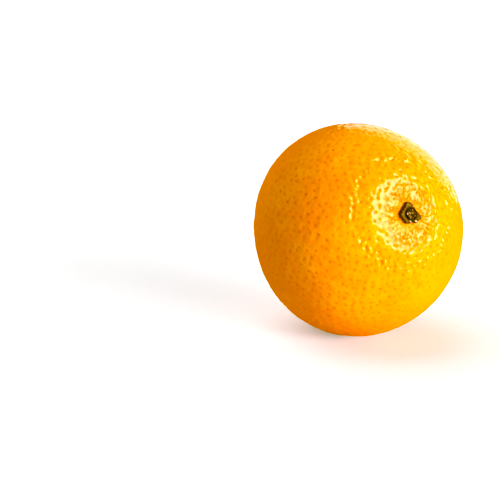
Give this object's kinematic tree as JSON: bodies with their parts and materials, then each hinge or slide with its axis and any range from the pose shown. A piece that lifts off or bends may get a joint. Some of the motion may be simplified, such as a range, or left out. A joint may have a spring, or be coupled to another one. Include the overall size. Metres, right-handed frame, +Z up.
{
  "type": "juice orange",
  "caption": "Whole round juice orange with dimpled peel, a dry calyx and a broken stem stub, lying on its side on a small flat spot.",
  "frame": {"origin": "centre of the small flat spot that the fruit rests on", "axes": "+Z up, -Y the side that the stem end faces, 22.5 degrees above level"},
  "size_m": [0.0734, 0.0722, 0.0736],
  "materials": {
    "peel": "satin, waxy, dimpled with oil pores",
    "calyx": "dry, matte, dark at its edge",
    "stem": "rough, matte, broken"
  },
  "bodies": {
    "root": {"fruit": "peel", "calyx": "calyx", "stem_stub": "stem"}
  },
  "joints": []
}
